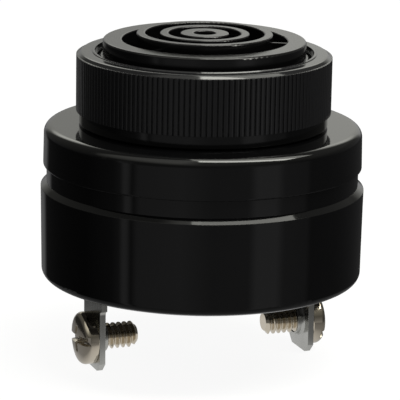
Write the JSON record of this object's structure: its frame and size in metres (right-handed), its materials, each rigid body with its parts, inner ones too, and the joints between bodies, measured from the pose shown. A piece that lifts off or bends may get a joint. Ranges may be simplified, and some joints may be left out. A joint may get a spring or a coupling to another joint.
{
  "type": "panel mount piezo buzzer",
  "caption": "Round panel mount piezo buzzer with a ring grille in a threaded neck, a knurled ring nut and tab terminals with clamp screws.",
  "frame": {"origin": "centre of the flange's seating face, on the axis of the neck", "axes": "+Z out through the grille along the neck, +X across the two terminals"},
  "size_m": [0.043, 0.043, 0.0444],
  "materials": {
    "front_moulding": "gloss black",
    "nut_moulding": "satin black",
    "case_moulding": "gloss black",
    "cover_moulding": "semi-gloss black",
    "tinned_brass": "tin plated",
    "nickel_plated_steel": "nickel plated",
    "gasket_rubber": "matte",
    "plate_brass": "plain sheet",
    "piezo_ceramic": "matte fired ceramic",
    "electrode_silver": "matte silver paste",
    "inner_moulding": "matte",
    "board_laminate": "solder mask",
    "ferrite": "matte",
    "copper_wire": "enamelled",
    "capacitor_sleeve": "sleeved",
    "component_epoxy": "moulded",
    "leg_metal": "tinned",
    "resistor_coat": "lacquered",
    "lead_black": "insulated wire",
    "lead_red": "insulated wire",
    "solder": "bright"
  },
  "bodies": {
    "buzzer": {"front_housing": "front_moulding", "rear_case": "case_moulding", "rear_cover": "cover_moulding", "terminal_left": "tinned_brass", "terminal_right": "tinned_brass", "plate_gasket": "gasket_rubber", "transducer_plate": "plate_brass", "piezo_ceramic": "piezo_ceramic", "silver_electrode": "electrode_silver", "clamp_ring": "inner_moulding", "circuit_board": "board_laminate", "coil_core": "ferrite", "coil_winding": "copper_wire", "filter_capacitor": "capacitor_sleeve", "driver_transistor": "component_epoxy", "transistor_legs": "leg_metal", "resistor_1": "resistor_coat", "resistor_2": "resistor_coat", "resistor_3": "resistor_coat", "resistor_legs": "leg_metal", "protection_diode": "component_epoxy", "diode_legs": "leg_metal", "plate_lead": "lead_black", "electrode_lead": "lead_red", "solder_beads": "solder"},
    "nut": {"ring_nut": "nut_moulding"},
    "left_screw": {"screw_left": "nickel_plated_steel"},
    "right_screw": {"screw_right": "nickel_plated_steel"}
  },
  "joints": [
    {"name": "nut_travel", "type": "slide", "parent": "buzzer", "child": "nut", "axis": [0, 0, 1], "range_m": [0, 0.013]},
    {"name": "left_screw_travel", "type": "slide", "parent": "buzzer", "child": "left_screw", "axis": [-1, 0, 0], "range_m": [0, 0.0042]},
    {"name": "right_screw_travel", "type": "slide", "parent": "buzzer", "child": "right_screw", "axis": [1, 0, 0], "range_m": [0, 0.0042]}
  ]
}
